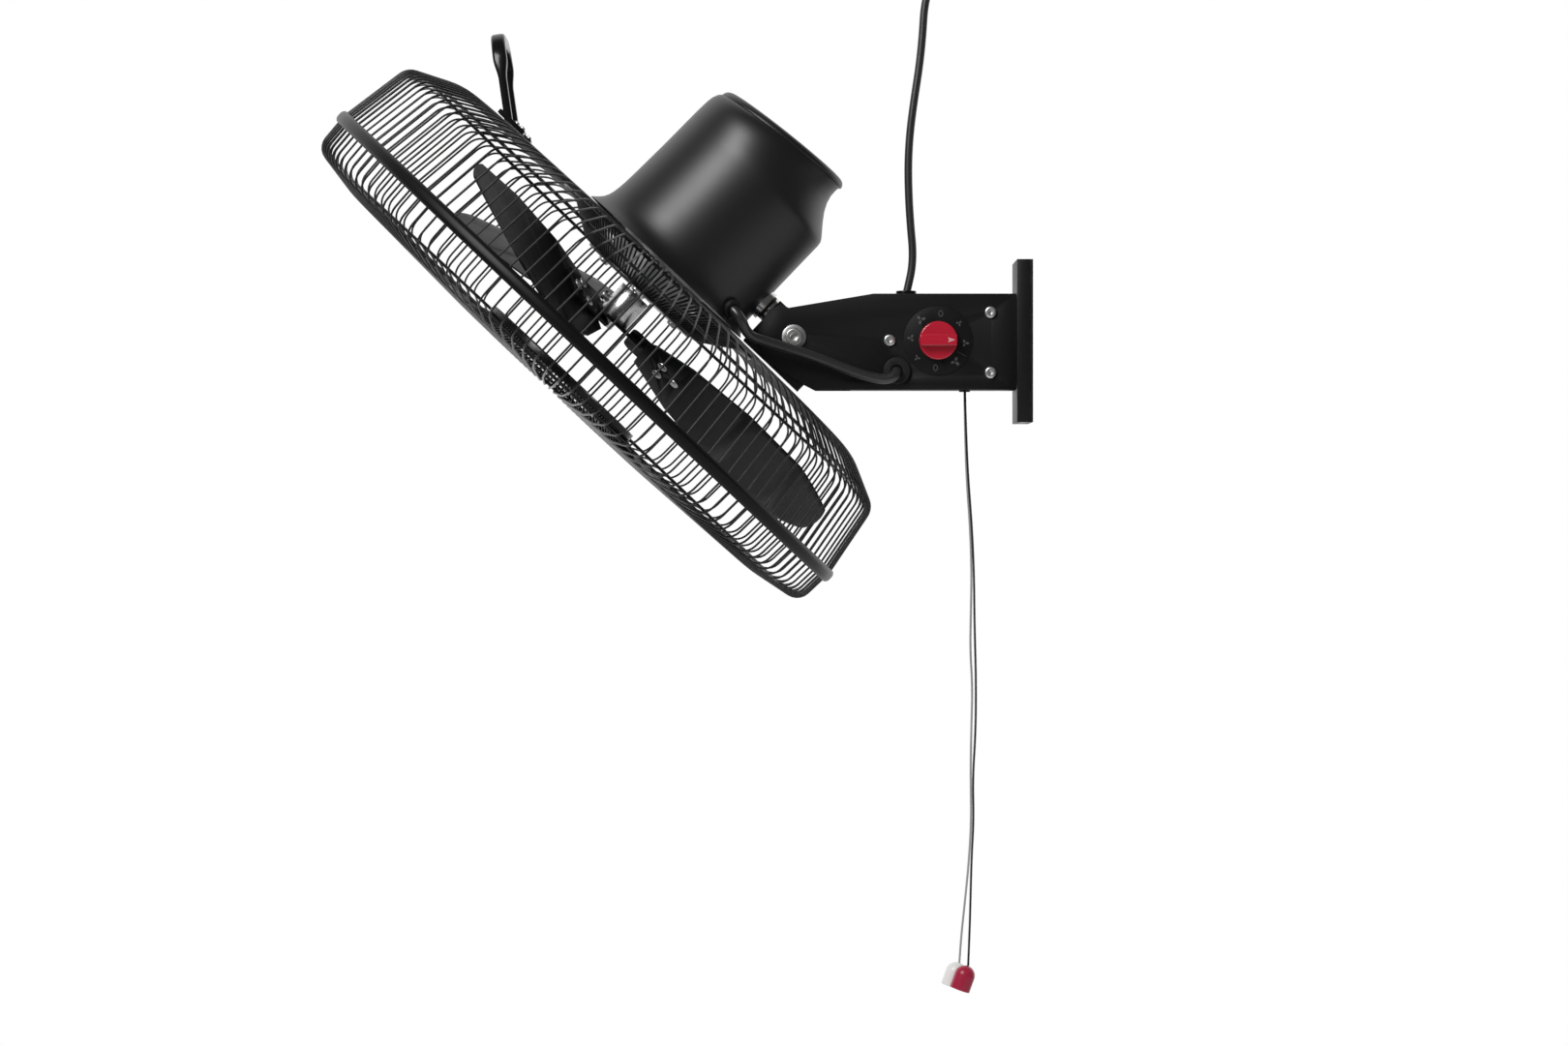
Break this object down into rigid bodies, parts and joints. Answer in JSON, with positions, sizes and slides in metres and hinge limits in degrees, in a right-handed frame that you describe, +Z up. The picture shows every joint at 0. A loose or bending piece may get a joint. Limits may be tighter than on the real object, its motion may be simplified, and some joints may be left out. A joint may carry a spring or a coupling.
{
  "type": "wall fan",
  "caption": "Wall-mounted oscillating fan: round wire guard, pressed blades and an enclosed motor on a tilting steel arm, with a rotary speed knob and two pull cords.",
  "frame": {"origin": "centre of the wall bracket's back face, on the wall", "axes": "+Y into the wall, +Z up, +X to the side that carries the dial; the fan hangs towards -Y"},
  "size_m": [0.5712, 0.5893, 1.0375],
  "materials": {
    "arm_paint": "black powder coat, fine texture",
    "zinc_steel": "bright zinc plated",
    "turned_steel": "turned steel",
    "bronze": "sintered bronze",
    "cast_aluminium": "as cast",
    "lamination": "stacked sheet",
    "copper": "enamelled winding wire",
    "housing_plastic": "black, satin gloss",
    "black_plastic": "black moulding",
    "gloss_black_plastic": "black, glossy",
    "dial_print": "black dial with grey print",
    "knob_red": "glossy crimson",
    "pull_red": "crimson",
    "pull_white": "white",
    "rubber": "soft black rubber",
    "cable_sheath": "black cable sheath",
    "black_braid": "black braided cord",
    "grey_braid": "grey braided cord",
    "guard_paint": "black gloss coat on wire",
    "clamp_paint": "black gloss coat",
    "blade_paint": "black satin coat"
  },
  "bodies": {
    "arm": {"wall_bracket": "arm_paint", "arm_base": "arm_paint", "bracket_screws": "zinc_steel", "arm_channel": "arm_paint", "arm_cover": "arm_paint", "arm_screws": "zinc_steel", "cord_guide": "black_plastic", "dial_plate": "dial_print", "speed_switch": "black_plastic", "swing_switch": "black_plastic", "capacitor": "black_plastic", "lead_gland": "gloss_black_plastic", "arm_grommet": "rubber", "tilt_bolt": "zinc_steel", "tilt_washers_and_nut": "zinc_steel", "tilt_bushes": "bronze", "mains_lead": "cable_sheath", "lead_coil": "cable_sheath", "lead_tail": "cable_sheath", "lead_tie": "cable_sheath", "mains_plug": "black_plastic", "motor_cable_arm": "cable_sheath"},
    "knob": {"speed_knob": "knob_red", "knob_spindle": "zinc_steel"},
    "speed_pull_cord": {"speed_cord": "black_braid", "speed_pull": "pull_red"},
    "swing_pull_cord": {"swing_cord": "grey_braid", "swing_pull": "pull_white"},
    "neck": {"tilt_yoke": "arm_paint", "swivel_post": "turned_steel"},
    "head": {"motor_housing": "housing_plastic", "rear_cap": "housing_plastic", "housing_grommet": "rubber", "motor_cable_head": "cable_sheath", "front_bell": "cast_aluminium", "rear_bell": "cast_aluminium", "stator_core": "lamination", "stator_windings": "copper", "bearings": "turned_steel", "neck_socket": "turned_steel", "neck_bush": "bronze", "swing_motor": "cast_aluminium", "rear_guard": "guard_paint", "front_guard": "guard_paint", "guard_rings": "guard_paint", "guard_plate": "guard_paint", "guard_screws": "zinc_steel", "front_disc": "gloss_black_plastic", "clamp_ring": "clamp_paint", "guard_handle": "gloss_black_plastic", "handle_screws": "zinc_steel"},
    "rotor": {"motor_shaft": "turned_steel", "rotor_core": "cast_aluminium", "blade_hub": "turned_steel", "hub_screw": "zinc_steel", "blade_spider": "blade_paint", "blades": "blade_paint", "blade_rivets": "zinc_steel"},
    "crank": {"swing_crank": "turned_steel"},
    "link": {"swing_link": "turned_steel"}
  },
  "joints": [
    {"name": "speed_knob_turn", "type": "hinge", "parent": "arm", "child": "knob", "pos_m": [0.016, -0.0775, 0.0009], "axis": [1, 0, 0], "continuous": true},
    {"name": "speed_cord_pull", "type": "slide", "parent": "arm", "child": "speed_pull_cord", "axis": [0, 0, -1], "range_m": [0, 0.012], "stiffness_N_per_m": 300},
    {"name": "swing_cord_pull", "type": "slide", "parent": "arm", "child": "swing_pull_cord", "axis": [0, 0, -1], "range_m": [0, 0.012], "stiffness_N_per_m": 300},
    {"name": "head_tilt", "type": "hinge", "parent": "arm", "child": "neck", "pos_m": [0, -0.1971, 0.0041], "axis": [1, 0, 0], "range_deg": [-16.6, 8.4], "deforming": ["motor_cable_arm", "motor_cable_head"]},
    {"name": "head_swing", "type": "hinge", "parent": "neck", "child": "head", "pos_m": [0, -0.23166, 0.04091], "axis": [0, 0.7266, -0.6871], "range_deg": [-40, 40], "deforming": ["motor_cable_arm", "motor_cable_head"]},
    {"name": "fan_spin", "type": "hinge", "parent": "head", "child": "rotor", "pos_m": [0, -0.37047, -0.004], "axis": [0, 0.6871, 0.7266], "continuous": true},
    {"name": "swing_crank_turn", "type": "hinge", "parent": "head", "child": "crank", "pos_m": [0, -0.19963, 0.10971], "axis": [0, 0.7266, -0.6871], "continuous": true},
    {"name": "swing_link_turn", "type": "hinge", "parent": "neck", "child": "link", "pos_m": [0.014, -0.24474, 0.05328], "axis": [0, 0.7266, -0.6871], "range_deg": [-40, 40]}
  ],
  "couplings": [
    {"joint": "swing_link_turn", "follows": "head_swing", "ratio": 1}
  ]
}
